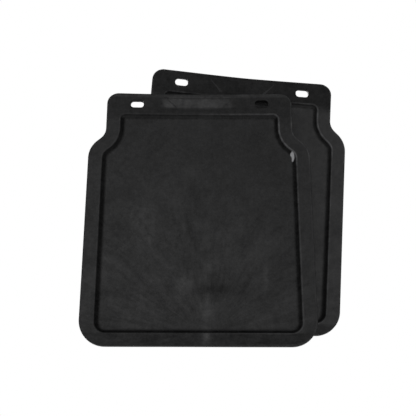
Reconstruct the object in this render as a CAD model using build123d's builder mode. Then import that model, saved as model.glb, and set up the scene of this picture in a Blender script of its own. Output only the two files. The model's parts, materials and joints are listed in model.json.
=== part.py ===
from build123d import *
import os
from math import cos, radians, sin

os.makedirs("parts", exist_ok=True)

# A pair of identical moulded rubber mud flaps, one hanging behind the other.
# Millimetres. X runs across the flaps, +Z is up and the front flap's recessed face looks along -Y.
# The origin is midway between the front flap's two slots, on its front face.

# Outline of one flap, seen from the front
FLAP_WIDTH = 250.0
FLAP_HEIGHT = 300.0
NECK_WIDTH = 212.6
NECK_LENGTH = 46.0  # straight side of the neck, measured from the top edge
TOP_CORNER_RADIUS = 13.5
SHOULDER_HOLLOW_RADIUS = 17.0
SHOULDER_CROWN_RADIUS = 28.0
SHOULDER_ANGLE = 48.0  # degrees that the edge turns outwards, away from vertical
BOTTOM_CORNER_RADIUS = 28.0

# Section: a thin panel, with a thicker flat rim and head strip standing on its front
THICKNESS = 6.0
RECESS_DEPTH = 3.6
RECESS_DRAFT = 42.0  # degrees that the recess wall slopes, away from square to the face
RIM_WIDTH = 15.6  # down both sides
FOOT_RIM_WIDTH = 13.4  # along the bottom
HEAD_HEIGHT = 27.0  # head strip, from the top edge down to the recess
RECESS_CORNER_RADIUS = 6.5
FRONT_EDGE_ROUND = 1.2
BACK_EDGE_ROUND = 0.5
RECESS_FLOOR_ROUND = 1.0

# Two horizontal slots in the head strip
SLOT_LENGTH = 15.0
SLOT_WIDTH = 10.0
SLOT_SPACING = 143.5
SLOT_DROP = 13.4  # slot centres below the top edge

# Blank label field with S-shaped sides, sunk into the head strip between the slots
LABEL_TOP_WIDTH = 76.0
LABEL_BOTTOM_WIDTH = 48.0
LABEL_HEIGHT = 18.0
LABEL_DEPTH = 0.4

# Flex line across the neck, where the skirt swings on the head strip
FLEX_DROP = 35.0  # below the top edge
FLEX_GAP = 0.05
BARREL_RADIUS = THICKNESS / 2

# The rear flap hangs up and to the right of the front one. It is turned clockwise,
# leans with its foot to the rear, and is swung so that its right side stands further back.
REAR_CENTRE = (50.5, 11.6, 30.1)
REAR_LEAN = 8.0  # degrees
REAR_SWING = 3.7
REAR_TURN = 3.4

# Heights in a flap's own frame, whose origin is midway between its slots
TOP_Y = SLOT_DROP
BOTTOM_Y = TOP_Y - FLAP_HEIGHT
HEAD_BOTTOM_Y = TOP_Y - HEAD_HEIGHT
FLEX_Y = TOP_Y - FLEX_DROP

front_face = Plane.XZ
leaning_face = (
    Plane.XZ.rotated((0, REAR_TURN, 0)).rotated((REAR_LEAN, 0, 0)).rotated((0, 0, REAR_SWING))
)
rear_face = Plane(origin=REAR_CENTRE, x_dir=leaning_face.x_dir, z_dir=leaning_face.z_dir)

# The flap's edge: its right half drawn from the top, then mirrored
with BuildSketch() as flap_profile:
    with BuildLine():
        top = Line((0, TOP_Y), (NECK_WIDTH / 2 - TOP_CORNER_RADIUS, TOP_Y))
        corner = JernArc(top @ 1, (1, 0), TOP_CORNER_RADIUS, -90)
        neck = Line(corner @ 1, (NECK_WIDTH / 2, TOP_Y - NECK_LENGTH))
        hollow = JernArc(neck @ 1, (0, -1), SHOULDER_HOLLOW_RADIUS, SHOULDER_ANGLE)
        crown_width = SHOULDER_CROWN_RADIUS * (1 - cos(radians(SHOULDER_ANGLE)))
        slope_width = FLAP_WIDTH / 2 - crown_width - (hollow @ 1).X
        slope_length = slope_width / sin(radians(SHOULDER_ANGLE))
        slope = Line(hollow @ 1, hollow @ 1 + (hollow % 1) * slope_length)
        crown = JernArc(slope @ 1, slope % 1, SHOULDER_CROWN_RADIUS, -SHOULDER_ANGLE)
        side = Line(crown @ 1, (FLAP_WIDTH / 2, BOTTOM_Y + BOTTOM_CORNER_RADIUS))
        foot = JernArc(side @ 1, (0, -1), BOTTOM_CORNER_RADIUS, -90)
        Line(foot @ 1, (0, BOTTOM_Y))
        mirror(about=Plane.YZ)
    make_face()

# The sunk panel: the edge moved in by the rim, lower along the foot, and cut off below the head strip
with BuildSketch() as inner_profile:
    add(flap_profile.sketch)
    offset(amount=-RIM_WIDTH, mode=Mode.REPLACE)

with BuildSketch() as recess_profile:
    with Locations((0, 0), (0, FOOT_RIM_WIDTH - RIM_WIDTH)):
        add(inner_profile.sketch)
    with Locations((0, HEAD_BOTTOM_Y)):
        Rectangle(FLAP_WIDTH, HEAD_HEIGHT, align=(Align.CENTER, Align.MIN), mode=Mode.SUBTRACT)
    fillet(recess_profile.vertices().group_by(Axis.Y)[-1], radius=RECESS_CORNER_RADIUS)

with BuildSketch() as label_profile:
    with BuildLine():
        label_top = Line((0, LABEL_HEIGHT / 2), (LABEL_TOP_WIDTH / 2, LABEL_HEIGHT / 2))
        label_side = Spline(
            label_top @ 1,
            (LABEL_BOTTOM_WIDTH / 2, -LABEL_HEIGHT / 2),
            tangents=((-1, -0.6), (-1, -0.6)),
        )
        Line(label_side @ 1, (0, -LABEL_HEIGHT / 2))
        mirror(about=Plane.YZ)
    make_face()

with BuildSketch() as slot_profile:
    with GridLocations(SLOT_SPACING, 0, 2, 1):
        SlotOverall(SLOT_LENGTH, SLOT_WIDTH)


def flap_moulding(face):
    """One whole flap. face is the plane of its front, with its origin midway between the slots."""
    with BuildPart() as flap:
        with BuildSketch(face):
            add(flap_profile.sketch)
        extrude(amount=-THICKNESS)
        facing = Axis(face.origin, face.z_dir)
        fillet(flap.faces().sort_by(facing)[-1].edges(), radius=FRONT_EDGE_ROUND)
        fillet(flap.faces().sort_by(facing)[0].edges(), radius=BACK_EDGE_ROUND)

        with BuildSketch(face):
            add(recess_profile.sketch)
        extrude(amount=-RECESS_DEPTH, taper=RECESS_DRAFT, mode=Mode.SUBTRACT)
        recess_floor = flap.faces(Select.LAST).filter_by(facing).sort_by(SortBy.AREA)[-1]
        fillet(recess_floor.edges(), radius=RECESS_FLOOR_ROUND)

        with BuildSketch(face):
            add(label_profile.sketch)
        extrude(amount=-LABEL_DEPTH, mode=Mode.SUBTRACT)

        with BuildSketch(face):
            add(slot_profile.sketch)
        extrude(amount=-THICKNESS, mode=Mode.SUBTRACT)
    return flap.part


def above_flex_line(face):
    """Level cut just above the skirt's round top, facing up the flap."""
    height = FLEX_Y + BARREL_RADIUS + FLEX_GAP
    return Plane(origin=face.from_local_coords((0, height, 0)), x_dir=face.x_dir, z_dir=face.y_dir)


def end_view(face):
    """Plane square to the flex line and centred on it, with its own y axis pointing up the flap."""
    centre = face.from_local_coords((0, FLEX_Y, -BARREL_RADIUS))
    return Plane(origin=centre, x_dir=-face.z_dir, z_dir=face.x_dir)


# All that is cut away to leave a skirt with a half-round top
with BuildSketch() as skirt_cut:
    Rectangle(4 * THICKNESS, 2 * FLEX_DROP, align=(Align.CENTER, Align.MIN))
    Circle(BARREL_RADIUS, mode=Mode.SUBTRACT)

front_flap = flap_moulding(front_face)
rear_flap = flap_moulding(rear_face)

with BuildPart() as front_flap_head:
    add(front_flap)
    split(bisect_by=above_flex_line(front_face), keep=Keep.TOP)

with BuildPart() as front_flap_skirt:
    add(front_flap)
    with BuildSketch(end_view(front_face)):
        add(skirt_cut.sketch)
    extrude(amount=FLAP_WIDTH, both=True, mode=Mode.SUBTRACT)

with BuildPart() as rear_flap_head:
    add(rear_flap)
    split(bisect_by=above_flex_line(rear_face), keep=Keep.TOP)

with BuildPart() as rear_flap_skirt:
    add(rear_flap)
    with BuildSketch(end_view(rear_face)):
        add(skirt_cut.sketch)
    extrude(amount=FLAP_WIDTH, both=True, mode=Mode.SUBTRACT)

front_flap_head.part.label = "front_flap_head"
export_step(front_flap_head.part, "parts/front_flap_head.step")

front_flap_skirt.part.label = "front_flap_skirt"
export_step(front_flap_skirt.part, "parts/front_flap_skirt.step")

rear_flap_head.part.label = "rear_flap_head"
export_step(rear_flap_head.part, "parts/rear_flap_head.step")

rear_flap_skirt.part.label = "rear_flap_skirt"
export_step(rear_flap_skirt.part, "parts/rear_flap_skirt.step")
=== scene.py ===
import json
from math import cos, pi, radians, sin, tan

import bmesh
import bpy
import numpy as np
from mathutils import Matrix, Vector, noise
from mathutils.geometry import delaunay_2d_cdt


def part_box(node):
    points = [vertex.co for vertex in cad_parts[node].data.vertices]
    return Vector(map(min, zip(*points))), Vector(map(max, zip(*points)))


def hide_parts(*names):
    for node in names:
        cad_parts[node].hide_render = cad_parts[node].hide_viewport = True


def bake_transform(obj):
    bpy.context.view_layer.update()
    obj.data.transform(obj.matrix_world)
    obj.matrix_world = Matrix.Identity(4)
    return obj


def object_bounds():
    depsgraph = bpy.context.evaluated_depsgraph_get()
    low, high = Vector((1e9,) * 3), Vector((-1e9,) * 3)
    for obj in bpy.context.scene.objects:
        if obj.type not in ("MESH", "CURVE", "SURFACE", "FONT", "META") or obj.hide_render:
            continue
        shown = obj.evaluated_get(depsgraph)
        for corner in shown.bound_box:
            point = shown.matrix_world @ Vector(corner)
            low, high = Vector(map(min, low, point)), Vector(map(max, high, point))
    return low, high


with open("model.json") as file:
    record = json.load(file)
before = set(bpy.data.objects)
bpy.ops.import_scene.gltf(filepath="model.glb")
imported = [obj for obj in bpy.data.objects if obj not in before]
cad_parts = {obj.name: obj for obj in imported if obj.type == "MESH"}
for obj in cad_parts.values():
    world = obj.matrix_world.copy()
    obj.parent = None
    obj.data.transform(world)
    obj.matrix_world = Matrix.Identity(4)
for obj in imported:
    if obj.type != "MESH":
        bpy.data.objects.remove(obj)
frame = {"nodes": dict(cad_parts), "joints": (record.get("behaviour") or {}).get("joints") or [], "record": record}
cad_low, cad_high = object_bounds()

# A pair of identical moulded rubber mud flaps, one hanging behind the other.
# Shapes are worked out in each flap's own frame, in millimetres: x runs across the flap, up runs
# up it from midway between the slots, and depth goes back from the front face.
MM = 0.001

# ---------------------------------------------------------------- sizes taken from the frame
head_low, head_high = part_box("front_flap_head")
skirt_low, skirt_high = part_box("front_flap_skirt")
THICKNESS = (head_high.y - head_low.y) / MM
NECK_HALF = head_high.x / MM
FLAP_HALF = skirt_high.x / MM
TOP = head_high.z / MM
BOTTOM = skirt_low.z / MM

# ---------------------------------------------------------------- the moulding's own shape
TOP_CORNER = 13.5
NECK_END = TOP - 46.0
HOLLOW = 17.0
CROWN = 28.0
SHOULDER = radians(48.0)
FOOT = 28.0
FRONT_ROUND = 1.2
BACK_ROUND = 0.6
FLASH_HEIGHT = 0.12  # thin line left where the mould halves met

RIM = 15.6  # down both sides
FOOT_RIM = 13.4
HEAD_BOTTOM = TOP - 27.0
RECESS_DEPTH = 3.6
RECESS_WALL = 3.3  # how far the sloping wall runs inwards
RECESS_CORNER = 6.5
RECESS_LIP_ROUND = 0.7
RECESS_COVE = 7.0
RECESS_RUN_OUT = 3.6  # from the wall's foot to where its cove has surely ended

SLOT_HALF_LENGTH = 7.5
SLOT_HALF_WIDTH = 5.0
SLOT_CORNER = 3.8
SLOT_SPACING = frame["record"]["mounts"][0]["dims"]["spacing_x_mm"]
SLOT_LIP_ROUND = 0.6

LABEL_HALF_TOP = 38.0
LABEL_HALF_BOTTOM = 24.0
LABEL_HALF_HEIGHT = 9.0
LABEL_DEPTH = 0.18
LABEL_SLOPE = 0.7  # half the width of the slope down into the field

# The top edge is bowed back, and the bow fades out down to this height
BOW_END = TOP - 100.0
FRONT_BOW = 1.2
FRONT_BOW_DROP = 2.6
REAR_BOW = 4.9
REAR_BOW_X = 4.0

FILL_SPACING = 3.5
SEAM_SPACING = 1.5


# ---------------------------------------------------------------- two-dimensional curves
def line(start, end, count):
    """count points from start towards end, without end."""
    share = np.arange(count)[:, None] / count
    return np.array(start) * (1 - share) + np.array(end) * share


def arc(centre, radius, start, end, count):
    """count points along an arc given by its two angles, without the last."""
    angle = start + (end - start) * np.arange(count) / count
    return np.array(centre) + radius * np.column_stack([np.cos(angle), np.sin(angle)])


def steps(length):
    return max(2, round(length / SEAM_SPACING))


def flap_edge(inset, top, corner, foot_drop=0.0):
    """A closed edge lying inset inside the flap's outline, cut off level at top, and lower at the foot.

    Every inset gives the same number of points, so that neighbouring edges join with quads."""
    neck = NECK_HALF - inset
    side = FLAP_HALF - inset
    bottom = BOTTOM + inset - foot_drop
    hollow_centre = np.array((NECK_HALF + HOLLOW, NECK_END))
    out = np.array((cos(SHOULDER), sin(SHOULDER)))
    crown_x = FLAP_HALF - CROWN
    slope = (crown_x + (CROWN + HOLLOW) * out[0] - hollow_centre[0]) / sin(SHOULDER)
    crown_centre = np.array((crown_x, hollow_centre[1] - slope * cos(SHOULDER) - (CROWN + HOLLOW) * out[1]))
    foot_centre = np.array((FLAP_HALF - FOOT, BOTTOM + FOOT - foot_drop))
    hollow_end = hollow_centre - (HOLLOW + inset) * out
    crown_start = crown_centre + (CROWN - inset) * out
    right = np.vstack([
        line((0, top), (neck - corner, top), steps(NECK_HALF)),
        arc((neck - corner, top - corner), corner, pi / 2, 0, 14),
        line((neck, top - corner), (neck, NECK_END), 18),
        arc(hollow_centre, HOLLOW + inset, pi, pi + SHOULDER, 16),
        line(hollow_end, crown_start, 4),
        arc(crown_centre, CROWN - inset, SHOULDER, 0, 16),
        line((side, crown_centre[1]), (side, foot_centre[1]), steps(crown_centre[1] - foot_centre[1])),
        arc(foot_centre, FOOT - inset, 0, -pi / 2, 24),
        line((foot_centre[0], bottom), (0, bottom), steps(foot_centre[0])),
    ])
    left = right[1:][::-1] * (-1, 1)
    return np.vstack([right, [(0, bottom)], left])


def outer_edge(inset):
    return flap_edge(inset, TOP - inset, TOP_CORNER - inset)


def recess_edge(inset):
    corner = max(RECESS_CORNER - inset, 0.4)
    return flap_edge(RIM + inset, HEAD_BOTTOM - inset, corner, RIM - FOOT_RIM)


def rounded_box(half_length, half_width, corner, centre):
    """A closed rounded rectangle, clockwise from the right end of its top side."""
    x, y = half_length - corner, half_width - corner
    loop = np.vstack([
        arc((x, y), corner, pi / 2, 0, 8),
        line((half_length, y), (half_length, -y), 2),
        arc((x, -y), corner, 0, -pi / 2, 8),
        line((x, -half_width), (-x, -half_width), 5),
        arc((-x, -y), corner, -pi / 2, -pi, 8),
        line((-half_length, -y), (-half_length, y), 2),
        arc((-x, y), corner, -pi, -3 * pi / 2, 8),
        line((-x, half_width), (x, half_width), 5),
    ])
    return loop + np.array(centre)


def slot_edge(grow, centre_x):
    return rounded_box(SLOT_HALF_LENGTH + grow, SLOT_HALF_WIDTH + grow, SLOT_CORNER + grow, (centre_x, 0))


def label_edge(inset):
    """The blank label field: level above and below, with S-shaped sides."""
    half_height = LABEL_HALF_HEIGHT - inset
    share = np.arange(16) / 16
    ease = share * share * (3 - 2 * share)
    reach = 0.45 * share + 0.55 * ease
    side_x = LABEL_HALF_TOP - inset + (LABEL_HALF_BOTTOM - LABEL_HALF_TOP) * reach
    side_y = half_height * (1 - 2 * share)
    right = np.vstack([
        line((0, half_height), (LABEL_HALF_TOP - inset, half_height), 14),
        np.column_stack([side_x, side_y]),
        line((LABEL_HALF_BOTTOM - inset, -half_height), (0, -half_height), 10),
    ])
    return np.vstack([right, [(0, -half_height)], right[1:][::-1] * (-1, 1)])


def rounded_profile(points, radii, count=5):
    """A polyline of (inset, depth) points with its inner corners rounded."""
    profile = [points[0]]
    for before, corner, after, radius in zip(points, points[1:], points[2:], radii):
        a, c, b = Vector(before), Vector(corner), Vector(after)
        u, v = (a - c).normalized(), (b - c).normalized()
        half = u.angle(v) / 2
        reach = radius / tan(half)
        centre = c + (u + v).normalized() * radius / sin(half)
        start, end = c + u * reach - centre, c + v * reach - centre
        sweep = start.angle(end)
        for k in range(count + 1):
            t = k / count
            p = centre + (start * sin((1 - t) * sweep) + end * sin(t * sweep)) / sin(sweep)
            profile.append(tuple(p))
    profile.append(points[-1])
    return profile


# ---------------------------------------------------------------- the mesh of one flap
class Skin:
    """Collects the points (x, up, depth) and faces of one closed moulding."""

    def __init__(self):
        self.points = []
        self.faces = []
        self.painted_light_zones = {}  # point number: its painted shade as a recess or slot wall, its painted highlight as a lip, and its painted highlight as a label edge

    def add_loop(self, loop, depth):
        first = len(self.points)
        self.points.extend((x, y, depth) for x, y in loop)
        return list(range(first, first + len(loop)))

    def band(self, edge, profile):
        """Quads along a closed edge, whose section is profile. Gives the first and last loops."""
        loops = [self.add_loop(edge(inset), depth) for inset, depth in profile]
        for low, high in zip(loops, loops[1:]):
            for k in range(len(low)):
                j = (k + 1) % len(low)
                self.faces.append((low[k], low[j], high[j], high[k]))
        return loops[0], loops[-1]

    def fill(self, outside, holes, depth):
        """Fills the flat area between loops that are already there, with an even spread of triangles."""
        borders = [outside] + holes
        flat = [np.array([self.points[i][:2] for i in loop]) for loop in borders]
        known = [i for loop in borders for i in loop]
        edges = []
        for loop in borders:
            base = len(edges)
            edges += [(base + k, base + (k + 1) % len(loop)) for k in range(len(loop))]
        inner = spread_points(flat)
        first = len(self.points)
        self.points.extend((x, y, depth) for x, y in inner)
        index = known + list(range(first, first + len(inner)))
        flat_points = [Vector(self.points[i][:2]) for i in index]
        made = delaunay_2d_cdt(flat_points, edges, [], 0, 1e-5)
        spots, triangles, origin = made[0], made[2], made[3]
        middle = np.array([sum((spots[i] for i in t), Vector((0, 0))) / 3 for t in triangles])
        keep = inside(middle, flat)
        for t, k in zip(triangles, keep):
            if k:
                self.faces.append(tuple(index[origin[i][0]] for i in t))


def crossings(points, loop):
    """True for each point that is inside one closed loop."""
    x, y = points[:, 0][:, None], points[:, 1][:, None]
    x1, y1 = loop[:, 0], loop[:, 1]
    x2, y2 = np.roll(x1, -1), np.roll(y1, -1)
    spans = (y1 > y) != (y2 > y)
    rise = np.where(y2 == y1, 1e-9, y2 - y1)
    at = (x2 - x1) * (y - y1) / rise + x1
    return (np.sum(spans & (x < at), axis=1) % 2).astype(bool)


def inside(points, borders):
    """True for each point inside the first loop and outside the others."""
    keep = crossings(points, borders[0])
    for hole in borders[1:]:
        keep &= ~crossings(points, hole)
    return keep


def spread_points(borders):
    """Points on a triangular grid inside the borders, not too near them."""
    row = FILL_SPACING * sin(pi / 3)
    low, high = borders[0].min(axis=0), borders[0].max(axis=0)
    grid = []
    for k, y in enumerate(np.arange(low[1] + row / 2, high[1], row)):
        shift = FILL_SPACING / 2 * (k % 2)
        xs = np.arange(-FILL_SPACING * 40 + shift, FILL_SPACING * 40, FILL_SPACING)
        grid.append(np.column_stack([xs, np.full(len(xs), y)]))
    grid = np.vstack(grid)
    grid = grid[inside(grid, borders)]
    near = np.full(len(grid), 1e9)
    for loop in borders:
        for k in range(0, len(loop), 64):
            gap = grid[:, None, :] - loop[None, k : k + 64, :]
            near = np.minimum(near, np.sqrt((gap**2).sum(axis=2)).min(axis=1))
    return grid[near > 0.55 * FILL_SPACING]


def flap_skin():
    """One whole flap: rim and head strip, sunk panel, slots, edges and flat back."""
    skin = Skin()
    flash = THICKNESS * 0.6
    ridge = [(0, flash - 0.3), (-FLASH_HEIGHT, flash), (0, flash + 0.3)]
    edge_profile = rounded_profile(
        [(2.2, 0), (0, 0)] + ridge + [(0, THICKNESS), (1.6, THICKNESS)],
        [FRONT_ROUND, 0.05, 0.05, 0.05, BACK_ROUND],
    )
    front_outer, back_outer = skin.band(outer_edge, edge_profile)
    # painted highlight along the rounded front edge of the outline, at half strength
    for k in range(len(front_outer), len(skin.points)):
        skin.painted_light_zones[k] = (0.0, 0.5 * (skin.points[k][2] < FRONT_ROUND * 1.3), 0.0)
    recess_profile = rounded_profile(
        [(-1.6, 0), (0, 0), (RECESS_WALL, RECESS_DEPTH), (RECESS_WALL + RECESS_RUN_OUT, RECESS_DEPTH)],
        [RECESS_LIP_ROUND, RECESS_COVE],
        7,
    )
    first = len(skin.points)
    recess_outer, floor = skin.band(recess_edge, recess_profile)
    # painted shade on the recess wall and the panel just inside it, and a painted highlight on the lip above it
    for k in range(first + len(recess_outer), len(skin.points)):
        inset, depth = recess_profile[(k - first) // len(recess_outer)]
        below = smooth(RECESS_WALL * 0.6, RECESS_WALL + RECESS_RUN_OUT, inset)
        wall = smooth(0.1, 0.5, depth) * (1 - below)
        skin.painted_light_zones[k] = (wall, 1 - smooth(0.2, 0.6, depth), 0.0)
    front_holes, back_holes = [recess_outer], []
    slot_profile = rounded_profile(
        [(1.3, 0), (0, 0), (0, THICKNESS), (1.2, THICKNESS)],
        [SLOT_LIP_ROUND, BACK_ROUND],
    )
    for side in (-1, 1):
        centre_x = side * SLOT_SPACING / 2
        first = len(skin.points)
        lip, back = skin.band(lambda grow: slot_edge(grow, centre_x), slot_profile)
        # painted shade on the slot walls
        for k in range(first, len(skin.points)):
            if 0.3 < skin.points[k][2] < THICKNESS:
                skin.painted_light_zones[k] = (2.0, 0.0, 0.0)
        front_holes.append(lip)
        back_holes.append(back)
    label_profile = rounded_profile(
        [(-1.5, 0), (-LABEL_SLOPE, 0), (LABEL_SLOPE, LABEL_DEPTH), (1.5, LABEL_DEPTH)],
        [1.0, 1.0],
        3,
    )
    first = len(skin.points)
    label_outer, label_inner = skin.band(label_edge, label_profile)
    # painted highlight along the label field's sloping sides
    for k in range(first, len(skin.points)):
        x, up, depth = skin.points[k]
        on_side = 0 < depth < LABEL_DEPTH and abs(up) < LABEL_HALF_HEIGHT - 0.8
        skin.painted_light_zones[k] = (0.0, 0.0, float(on_side))
    front_holes.append(label_outer)
    skin.fill(front_outer, front_holes, 0.0)
    skin.fill(label_inner, [], LABEL_DEPTH)
    skin.fill(floor, [], RECESS_DEPTH)
    skin.fill(back_outer, back_holes, THICKNESS)
    return skin


def smooth(low, high, value):
    t = np.clip((value - low) / (high - low), 0, 1)
    return t * t * (3 - 2 * t)


def waviness(x, up, seed):
    """Millimetres that a loose rubber sheet stands off its flat plane."""
    slow = noise.noise(Vector((x / 90.0, up / 90.0, seed)))
    quick = noise.noise(Vector((x / 34.0, up / 34.0, seed + 7.3)))
    return 0.40 * slow + 0.08 * quick


def build_flap(name, origin, across, up_axis, back, bow, seed):
    """Makes one flap, bows its top edge, and hides the head and skirt parts that it stands in for."""
    skin = flap_skin()
    moulded = np.array(skin.points)
    placed = []
    for x, up, depth in moulded:
        lift = bow(x) * smooth(BOW_END, TOP, up) + waviness(x, up, seed)
        spot = origin + (across * x + up_axis * up + back * (depth + lift)) * MM
        placed.append(spot)
    mesh = bpy.data.meshes.new(name)
    mesh.from_pydata(placed, [], skin.faces)
    shape = bmesh.new()
    shape.from_mesh(mesh)
    bmesh.ops.recalc_face_normals(shape, faces=shape.faces)
    shape.to_mesh(mesh)
    shape.free()
    mesh.shade_smooth()
    painted_light_zones = np.zeros((len(moulded), 3))
    for k, value in skin.painted_light_zones.items():
        painted_light_zones[k] = value
    for label, values in (("moulded", moulded), ("painted_light_zones", painted_light_zones)):
        attribute = mesh.attributes.new(label, "FLOAT_VECTOR", "POINT")
        attribute.data.foreach_set("vector", values.astype(np.float32).ravel())
    flap = bpy.data.objects.new(name, mesh)
    bpy.context.scene.collection.objects.link(flap)
    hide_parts(f"{name}_head", f"{name}_skirt")
    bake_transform(flap)
    return flap


# ---------------------------------------------------------------- material nodes
class Nodes:
    """A short way to write node trees: every call makes a node and gives its first output."""

    def __init__(self, tree):
        self.tree = tree

    def make(self, kind, inputs=None, **settings):
        node = self.tree.nodes.new(kind)
        for key, value in settings.items():
            setattr(node, key, value)
        for key, value in (inputs or {}).items():
            if isinstance(value, bpy.types.NodeSocket):
                self.tree.links.new(value, node.inputs[key])
            else:
                node.inputs[key].default_value = value
        return node

    def math(self, operation, a, b=0.0, c=0.0):
        return self.make("ShaderNodeMath", {0: a, 1: b, 2: c}, operation=operation).outputs[0]

    def vector(self, operation, a, b=(0, 0, 0)):
        return self.make("ShaderNodeVectorMath", {0: a, 1: b}, operation=operation).outputs[0]

    def mul(self, first, *others):
        """All its inputs multiplied together."""
        for other in others:
            first = self.math("MULTIPLY", first, other)
        return first

    def add(self, base, extra, amount=1.0):
        """base + extra * amount"""
        return self.math("MULTIPLY_ADD", extra, amount, base)

    def split(self, vector):
        return self.make("ShaderNodeSeparateXYZ", {0: vector}).outputs

    def attribute(self, name):
        return self.make("ShaderNodeAttribute", attribute_name=name).outputs["Vector"]

    def noise(self, where, scale, detail=3.0, rough=0.5, distortion=0.0):
        inputs = {"Vector": where, "Scale": scale, "Detail": detail}
        inputs.update({"Roughness": rough, "Distortion": distortion})
        return self.make("ShaderNodeTexNoise", inputs).outputs["Fac"]

    def remap(self, value, low, high, to_low=0.0, to_high=1.0, smoothly=True):
        kind = "SMOOTHSTEP" if smoothly else "LINEAR"
        inputs = {"Value": value, "From Min": low, "From Max": high, "To Min": to_low, "To Max": to_high}
        return self.make("ShaderNodeMapRange", inputs, interpolation_type=kind).outputs[0]

    def far(self, x, up, middle_x, middle_up, half_x, half_up):
        """The squared distance from a mark's middle, counted in the mark's half sizes."""
        across = self.math("DIVIDE", self.math("SUBTRACT", x, middle_x), half_x)
        along = self.math("DIVIDE", self.math("SUBTRACT", up, middle_up), half_up)
        return self.add(self.mul(across, across), along, along)


def new_material(name):
    material = bpy.data.materials.new(name)
    material.use_nodes = True
    material.node_tree.nodes.clear()
    return material, Nodes(material.node_tree)


RUBBER_COLOUR = (0.0185, 0.0185, 0.0190, 1)
ROUGHNESS = 0.50
SPECULAR = 0.40
GATE = (8.0, -275.0)  # where the rubber entered the mould
# middle and half sizes of a painted highlight on the front flap's right shoulder recess wall
WALL_GLINT = (105.0, -67.0, 2.6, 6.5)

# Marks on the sunk panel and foot: x, up, half width, half height, and how much lighter than the rest
MARKS = [
    (8.5, -246.0, 7.5, 11.0, 0.45),
    (8.0, -277.0, 5.0, 9.0, 0.5),
    (-14.6, -219.0, 8.0, 8.0, 0.42),
    (14.0, -224.0, 21.0, 5.5, -0.32),
    (10.0, -200.0, 10.0, 12.0, 0.12),
    (-64.0, -140.0, 12.0, 20.0, 0.14),
    (-50.0, -160.0, 8.0, 22.0, 0.10),
    (72.0, -210.0, 3.0, 12.0, 0.30),
    (48.0, -60.0, 45.0, 40.0, -0.10),
    (-60.0, -235.0, 12.0, 10.0, 0.10),
]

# How much lighter than plain rubber each thing is. Apart from the seed and the marks, these are painted
# light and shade, which makes the rear flap a lighter copy of the same rubber with a darker head strip.
# The lips take painted highlights from one x to another, by the third number rising to the fourth.
FRONT_LOOK = {
    "seed": 1.0, "all": 0.0, "head": -0.2, "foot": -0.28, "label": 0.95, "top_edge_sheen": 0.35,
    "lips": (-20.0, 85.0, 0.35, 2.0), "label_side_glint": 0.0, "wall_glint": 26.0, "marks": MARKS}
REAR_LOOK = {
    "seed": 2.0, "all": 0.25, "head": -0.65, "foot": -0.28, "label": 0.0, "top_edge_sheen": 0.0,
    "lips": (40.0, 90.0, 0.9, 1.7), "label_side_glint": 0.55, "wall_glint": 0.0, "marks": []}


def flow_lines(n, x, up, seed):
    """Streaks that fan out from the gate, and fade close to it and far from it."""
    from_x = n.math("SUBTRACT", x, GATE[0])
    from_up = n.math("SUBTRACT", up, GATE[1])
    angle = n.math("ARCTAN2", from_x, from_up)
    reach = n.math("SQRT", n.add(n.mul(from_x, from_x), from_up, from_up))
    polar = n.make("ShaderNodeCombineXYZ", {0: n.mul(angle, 9.0), 1: n.mul(reach, 0.018), 2: seed})
    fan = n.noise(polar.outputs[0], 1.6, 4.0, 0.62, 0.4)
    return n.mul(n.math("SUBTRACT", fan, 0.5), n.remap(reach, 8.0, 45.0), n.remap(reach, 240.0, 110.0))


def scratches(n, where, light, patches):
    """Lightens thin lines in two directions, only where patches is high."""
    for turn, amount in ((0.5, 0.20), (-0.9, 0.14)):
        inputs = {"Vector": where, "Angle": turn}
        turned = n.make("ShaderNodeVectorRotate", inputs, rotation_type="Z_AXIS").outputs[0]
        fine = n.noise(n.vector("MULTIPLY", turned, (1.3, 0.03, 1.0)), 1.0, 2.0, 0.5)
        light = n.add(light, n.mul(n.remap(fine, 0.70, 0.76), n.remap(patches, 0.45, 0.65)), amount)
    return light


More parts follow.
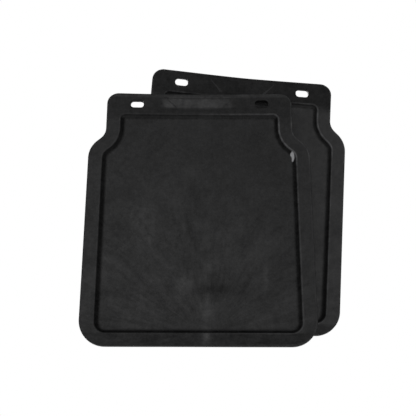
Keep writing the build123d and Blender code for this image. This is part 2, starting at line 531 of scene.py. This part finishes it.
def rubber(name, look):
    """Near-black moulded rubber, with flow lines, cloudy bloom, fine grain and scratches, and painted shade, sheen
    and highlights on walls, lips and edges.
    """
    material, n = new_material(name)
    where = n.attribute("moulded")
    x, up, depth = n.split(where)
    wall_zone, lip_zone, label_zone = n.split(n.attribute("painted_light_zones"))
    seed = look["seed"]
    shifted = n.vector("ADD", where, (seed * 37.0, seed * 11.0, seed * 5.0))

    cloud = n.noise(shifted, 0.035, 4.0, 0.55)
    mottle = n.noise(shifted, 0.16, 4.0, 0.6)
    blotch = n.noise(shifted, 0.42, 3.0, 0.6)
    speck = n.noise(shifted, 1.1, 3.0, 0.7)
    streak = n.noise(n.vector("MULTIPLY", shifted, (0.9, 0.035, 0.3)), 1.0, 3.0, 0.6)
    light = look["all"]
    for texture, amount in ((cloud, 0.55), (mottle, 0.60), (blotch, 0.45), (speck, 0.60), (streak, 0.14)):
        light = n.add(light, n.math("SUBTRACT", texture, 0.5), amount)
    flow = flow_lines(n, x, up, seed)
    light = n.add(light, flow, 0.75)
    for *place, strength in look["marks"]:
        spot = n.math("EXPONENT", n.mul(n.far(x, up, *place), -1.0))
        light = n.add(light, n.mul(spot, n.remap(mottle, 0.25, 0.75, 0.5, 1.5, False)), strength)

    # a paler band across the label field: painted sheen, where the field catches more light
    label = n.mul(
        n.remap(x, -46.0, -36.0), n.remap(x, 44.0, 14.0, 0.35, 1.0), n.remap(x, 46.0, 34.0),
        n.remap(up, -7.0, -3.0), n.remap(up, 9.0, 5.0), n.remap(mottle, 0.3, 0.7, 0.6, 1.4, False))
    light = n.add(light, label, look["label"])

    # painted shade: the foot and the head strip are darker and duller than the panel, as they catch less light;
    # painted sheen along the top edge, where its bow catches more
    raised = n.remap(depth, 2.0, 1.0)
    on_foot = n.remap(up, BOTTOM + FOOT_RIM + 1.0, BOTTOM + FOOT_RIM - 1.0)
    on_head = n.remap(up, HEAD_BOTTOM - 14.0, HEAD_BOTTOM + 2.0)
    light = n.add(light, n.mul(on_foot, raised), look["foot"])
    light = n.add(light, n.mul(on_head, raised), look["head"])
    top_edge_sheen = n.mul(n.remap(up, TOP - 6.5, TOP - 3.5), n.remap(mottle, 0.3, 0.7, 0.5, 1.5, False))
    light = n.add(light, top_edge_sheen, look["top_edge_sheen"])

    # painted shade on the recess walls and the panel beside them, and in the slots: less so along the top, and
    # narrower along the foot
    along_top = n.remap(up, HEAD_BOTTOM - 6.0, HEAD_BOTTOM - 2.0)
    by_foot = n.remap(up, BOTTOM + FOOT_RIM + 9.0, BOTTOM + FOOT_RIM + 4.0)
    wide = n.remap(wall_zone, 0.0, 0.75, 0.0, 1.0, False)
    narrow = n.remap(wall_zone, 0.45, 1.0)
    wall = n.make("ShaderNodeMix", {0: by_foot, 2: wide, 3: narrow}, data_type="FLOAT").outputs[0]
    light = n.add(light, n.mul(wall, n.add(1.0, along_top, -0.55)), -0.7)
    light = scratches(n, shifted, light, cloud)

    # painted highlights along the lips, less so along the top and down the sides, and one painted highlight on the
    # recess wall at the right shoulder
    edge_highlight = n.mul(
        lip_zone, n.remap(x, *look["lips"]), n.remap(up, -66.0, -84.0, 1.0, 0.35),
        n.add(1.0, along_top, -0.45), n.remap(mottle, 0.3, 0.7, 0.4, 1.4, False))
    edge_highlight = n.add(edge_highlight, label_zone, look["label_side_glint"])
    wall_glint = n.mul(n.remap(n.far(x, up, *WALL_GLINT), 1.1, 0.5), n.remap(wall_zone, 0.2, 0.6))

    factor = n.math("MAXIMUM", n.add(1.0, light), 0.15)
    factor = n.add(n.add(factor, edge_highlight, 2.6), wall_glint, look["wall_glint"])
    tint = {0: factor, 6: (0.0, 0.0, 0.0, 1), 7: RUBBER_COLOUR}
    colour = n.make("ShaderNodeMix", tint, data_type="RGBA", clamp_factor=False).outputs[2]
    roughness = n.math("MAXIMUM", n.add(ROUGHNESS, light, -0.16), 0.34)
    roughness = n.math("MINIMUM", roughness, 0.68)
    specular = n.mul(n.math("MAXIMUM", n.add(1.0, light, 0.8), 0.1), SPECULAR)

    grain = n.noise(shifted, 2.4, 5.0, 0.65)
    height = n.add(n.add(n.mul(grain, 0.030), mottle, 0.05), flow, 0.03)
    bump = n.make("ShaderNodeBump", {"Strength": 0.8, "Distance": MM, "Height": height}).outputs[0]
    shader = n.make("ShaderNodeBsdfPrincipled", {
        "Base Color": colour, "Roughness": roughness, "Specular IOR Level": specular, "Normal": bump})
    n.make("ShaderNodeOutputMaterial", {0: shader.outputs[0]})
    return material


# ---------------------------------------------------------------- the two flaps
joints = {joint["name"]: joint for joint in frame["joints"]}
mounts = {mount["name"]: mount for mount in frame["record"]["mounts"]}


def front_bow(x):
    """The front flap's top edge sags slightly back in the middle."""
    return FRONT_BOW - FRONT_BOW_DROP * (x / NECK_HALF) ** 2


def rear_bow(x):
    """The rear flap's top edge sags back in the middle, most sharply just right of centre."""
    off = (((x - REAR_BOW_X) / NECK_HALF) ** 2 + 0.01) ** 0.5
    return REAR_BOW * max(0.0, 1 - off**1.3)


rear_across = Vector(joints["rear_flex"]["axis"]).normalized()
rear_back = Vector(joints["rear_lift_off"]["axis"]).normalized()
rear_up = rear_across.cross(rear_back)
rear_origin = Vector(mounts["rear_flap_slots"]["pos_m"]) - rear_back * THICKNESS * MM

front_flap = build_flap(
    "front_flap", Vector((0, 0, 0)), Vector((1, 0, 0)), Vector((0, 0, 1)), Vector((0, 1, 0)),
    front_bow, 1.0)
rear_flap = build_flap(
    "rear_flap", rear_origin, rear_across, rear_up, rear_back,
    rear_bow, 4.0)
front_flap.data.materials.append(rubber("front_rubber", FRONT_LOOK))
rear_flap.data.materials.append(rubber("rear_rubber", REAR_LOOK))
for node in frame["nodes"].values():
    node.data.materials.clear()
    node.data.materials.append(front_flap.data.materials[0])

# ---------------------------------------------------------------- floor, light and camera
FLOOR_DROP = 0.36  # below the flaps' feet
FLOOR_RADIUS = 9.0
FLOOR_GLOW = 0.40  # light that the floor throws back, against 1 as the camera sees it
floor_mesh = bpy.data.meshes.new("floor")
floor_shape = bmesh.new()
bmesh.ops.create_circle(floor_shape, cap_ends=True, segments=96, radius=FLOOR_RADIUS)
floor_shape.to_mesh(floor_mesh)
floor_shape.free()
floor = bpy.data.objects.new("floor", floor_mesh)
floor.location.z = BOTTOM * MM - FLOOR_DROP
bpy.context.scene.collection.objects.link(floor)
floor_material, f = new_material("floor_paint")
to_camera = f.make("ShaderNodeLightPath").outputs["Is Camera Ray"]
floor_glow = f.remap(to_camera, 0.0, 1.0, FLOOR_GLOW, 1.0)
floor_look = f.make("ShaderNodeEmission", {"Color": (1, 1, 1, 1), "Strength": floor_glow}).outputs[0]
f.make("ShaderNodeOutputMaterial", {0: floor_look})
floor_mesh.materials.append(floor_material)

world = bpy.data.worlds.new("studio")
bpy.context.scene.world = world
world.use_nodes = True
world.node_tree.nodes.clear()
w = Nodes(world.node_tree)
# white to the camera, but a dim room to the flaps, darkest at its sides
direction = w.split(w.make("ShaderNodeTexCoord").outputs["Generated"])
sideways = w.math("ABSOLUTE", direction[0])
dim = w.remap(sideways, 0.30, 0.75, 0.11, 0.015)
rise = w.remap(direction[2], -1.0, 1.0, 0.9, 1.0, False)
seen = w.make("ShaderNodeLightPath").outputs["Is Camera Ray"]
strength = w.make("ShaderNodeMix", {0: seen, 2: w.mul(dim, rise), 3: 1.0}, data_type="FLOAT").outputs[0]
background = w.make("ShaderNodeBackground", {"Color": (1, 1, 1, 1), "Strength": strength})
w.make("ShaderNodeOutputWorld", {0: background.outputs[0]})

middle = (cad_low + cad_high) / 2


def softbox(name, azimuth, elevation, distance, width, height, power):
    """An area light aimed at the middle. Azimuth 0 stands in front of the flaps, 90 to their right."""
    light = bpy.data.lights.new(name, "AREA")
    light.shape = "RECTANGLE"
    light.size = width
    light.size_y = height
    light.energy = power
    lamp = bpy.data.objects.new(name, light)
    a, e = radians(azimuth), radians(elevation)
    away = Vector((sin(a) * cos(e), -cos(a) * cos(e), sin(e)))
    lamp.location = middle + away * distance
    lamp.rotation_euler = away.to_track_quat("Z", "Y").to_euler()
    bpy.context.scene.collection.objects.link(lamp)


softbox("key", -10, 15, 2.2, 1.3, 0.9, 6.1)
softbox("low_fill", 22, -2, 2.2, 0.7, 0.7, 2.4)
softbox("left_strip", -55, 8, 2.0, 0.25, 1.6, 2.4)
softbox("right_strip", 66, 5, 2.0, 0.25, 1.6, 1.8)
softbox("back_light", 200, 25, 2.4, 1.8, 1.2, 30.0)

CAMERA_RISE = radians(23.7)  # the camera looks up at the flaps from below
CAMERA_DISTANCE = 1.024
CAMERA_LENS = 80.7
AIM = Vector((0.0, 0.0, -131.5)) * MM
PAN = 9.9 * MM  # it stands square to the front flap, and turns a little right to hold the pair
camera_data = bpy.data.cameras.new("camera")
camera_data.lens = CAMERA_LENS
camera_data.sensor_width = 36.0
camera = bpy.data.objects.new("camera", camera_data)
sight = Vector((0, cos(CAMERA_RISE), sin(CAMERA_RISE)))
camera.location = AIM - sight * CAMERA_DISTANCE
turned = camera.location - AIM - Vector((PAN, 0, 0))
camera.rotation_euler = turned.to_track_quat("Z", "Y").to_euler()
bpy.context.scene.collection.objects.link(camera)
bpy.context.scene.camera = camera
bpy.context.scene.view_settings.view_transform = "Standard"
